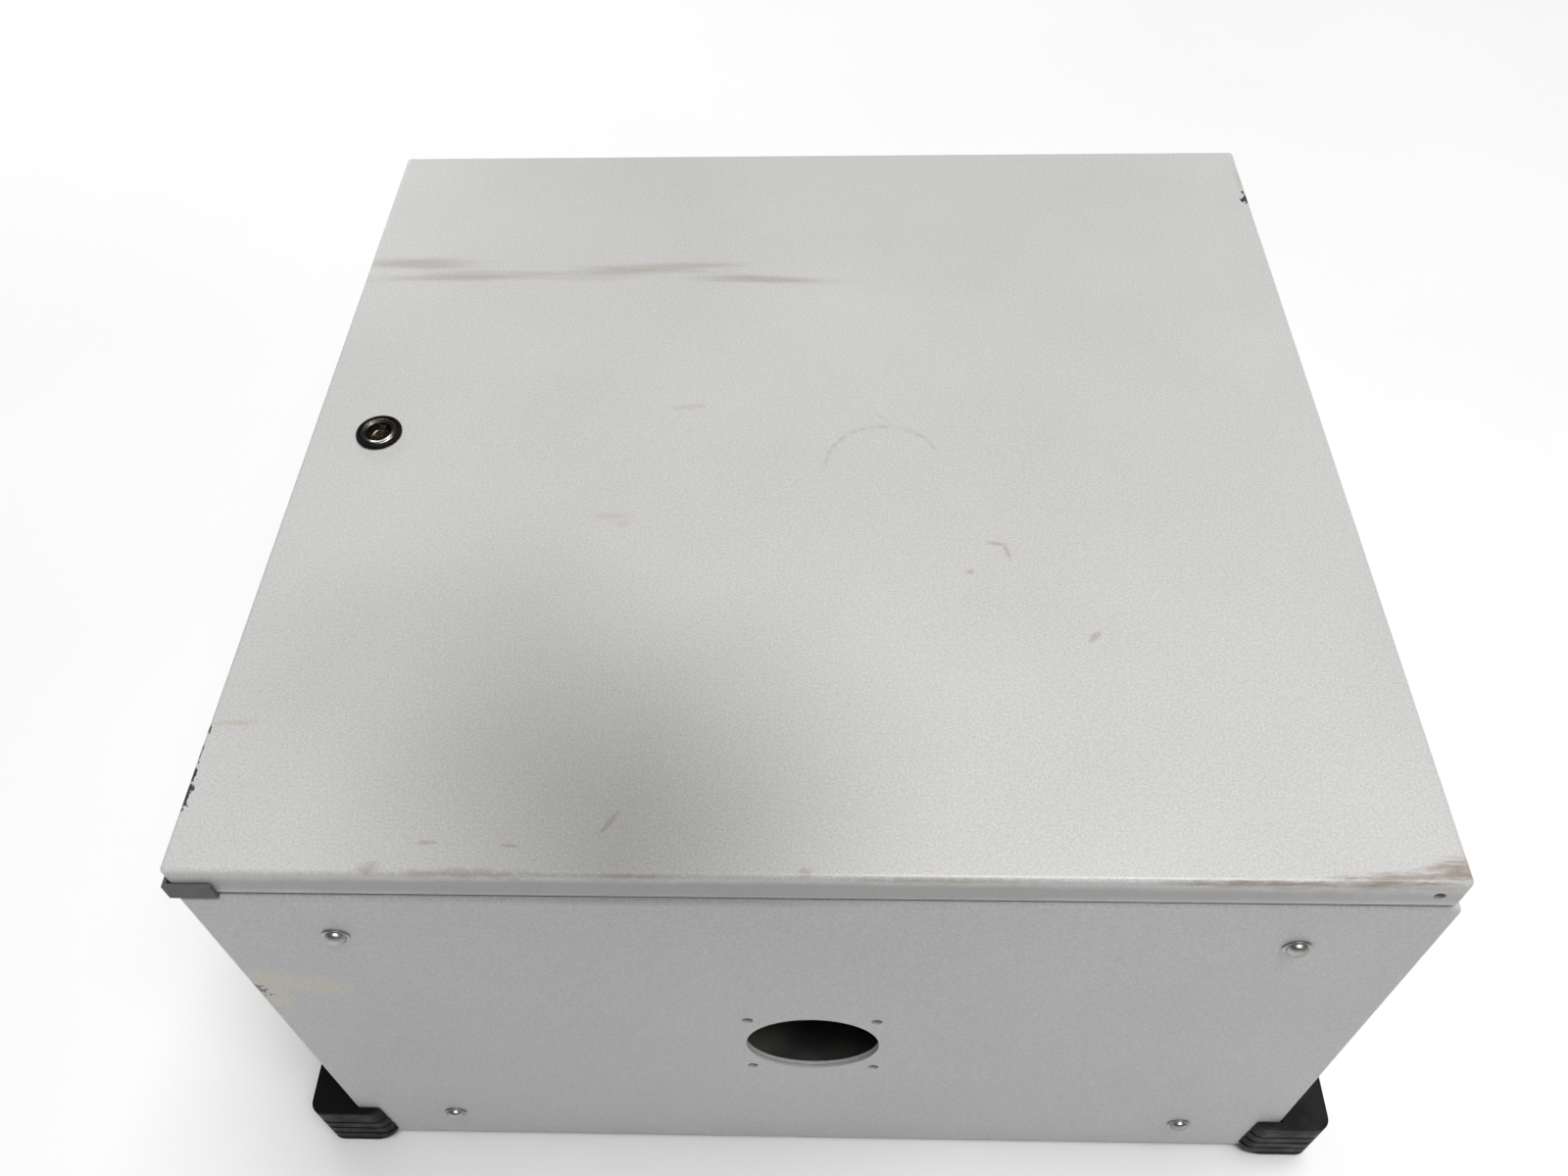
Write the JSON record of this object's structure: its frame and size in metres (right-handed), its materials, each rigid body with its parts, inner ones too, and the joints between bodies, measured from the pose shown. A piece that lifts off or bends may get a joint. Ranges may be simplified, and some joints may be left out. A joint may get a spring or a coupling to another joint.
{
  "type": "subpanel enclosure",
  "caption": "Wall-mounting sheet-steel enclosure with a hinged, gasketed door, quarter-turn lock, inner mounting plate, round bottom cut-out and corner feet.",
  "frame": {"origin": "on the floor, under the middle of the enclosure lying on its back on its four corner feet", "axes": "+Z out of the door, +X towards the hinge side, +Y towards the enclosure's top end; the wall with the round cut-out is the bottom end, at -Y"},
  "size_m": [0.66, 0.585, 0.3888],
  "materials": {
    "powder_coat": "fine-textured light grey powder coat",
    "zinc_plate": "zinc-plated steel",
    "chrome": "bright plated",
    "black_plastic": "black moulded plastic",
    "grey_plastic": "dark grey moulded plastic",
    "foam": "black foamed-in-place seal"
  },
  "bodies": {
    "enclosure": {"back_panel": "powder_coat", "body_earth_nut": "zinc_plate", "body_earth_stud": "zinc_plate", "body_wrap": "powder_coat", "bottom_inner_plate": "powder_coat", "dome_nut_back_hinge": "zinc_plate", "dome_nut_back_lock": "zinc_plate", "dome_nut_front_hinge": "zinc_plate", "dome_nut_front_lock": "zinc_plate", "dome_screw_back_hinge": "chrome", "dome_screw_back_lock": "chrome", "dome_screw_front_hinge": "chrome", "dome_screw_front_lock": "chrome", "foot_bottom_hinge": "black_plastic", "foot_bottom_lock": "black_plastic", "foot_nut_bottom_hinge": "zinc_plate", "foot_nut_bottom_lock": "zinc_plate", "foot_nut_top_hinge": "zinc_plate", "foot_nut_top_lock": "zinc_plate", "foot_screw_bottom_hinge": "zinc_plate", "foot_screw_bottom_lock": "zinc_plate", "foot_screw_top_hinge": "zinc_plate", "foot_screw_top_lock": "zinc_plate", "foot_top_hinge": "black_plastic", "foot_top_lock": "black_plastic", "hinge_bracket_lower": "zinc_plate", "hinge_bracket_upper": "zinc_plate", "hinge_pin_lower": "zinc_plate", "hinge_pin_upper": "zinc_plate", "hinge_screw_lower_a": "zinc_plate", "hinge_screw_lower_b": "zinc_plate", "hinge_screw_upper_a": "zinc_plate", "hinge_screw_upper_b": "zinc_plate", "subpanel_nut_bottom_hinge": "zinc_plate", "subpanel_nut_bottom_lock": "zinc_plate", "subpanel_nut_top_hinge": "zinc_plate", "subpanel_nut_top_lock": "zinc_plate", "subpanel_plate": "zinc_plate", "subpanel_stud_bottom_hinge": "zinc_plate", "subpanel_stud_bottom_lock": "zinc_plate", "subpanel_stud_top_hinge": "zinc_plate", "subpanel_stud_top_lock": "zinc_plate"},
    "door": {"door_corner_buffer": "grey_plastic", "door_earth_nut": "zinc_plate", "door_earth_stud": "zinc_plate", "door_gasket": "foam", "door_panel": "powder_coat", "door_rail_hinge_side": "powder_coat", "door_rail_lock_side": "powder_coat", "hinge_leaf_lower": "zinc_plate", "hinge_leaf_upper": "zinc_plate", "lock_housing": "black_plastic", "lock_nut": "zinc_plate", "lock_seal": "foam"},
    "lock": {"lock_cam": "zinc_plate", "lock_cam_screw": "zinc_plate", "lock_insert": "chrome"}
  },
  "joints": [
    {"name": "door_hinge", "type": "hinge", "parent": "enclosure", "child": "door", "pos_m": [0.291, 0, 0.376], "axis": [0, 1, 0], "range_deg": [0, 130]},
    {"name": "lock_turn", "type": "hinge", "parent": "door", "child": "lock", "pos_m": [-0.2585, -0.001, 0.386], "axis": [0, 0, 1], "range_deg": [0, 90]}
  ]
}
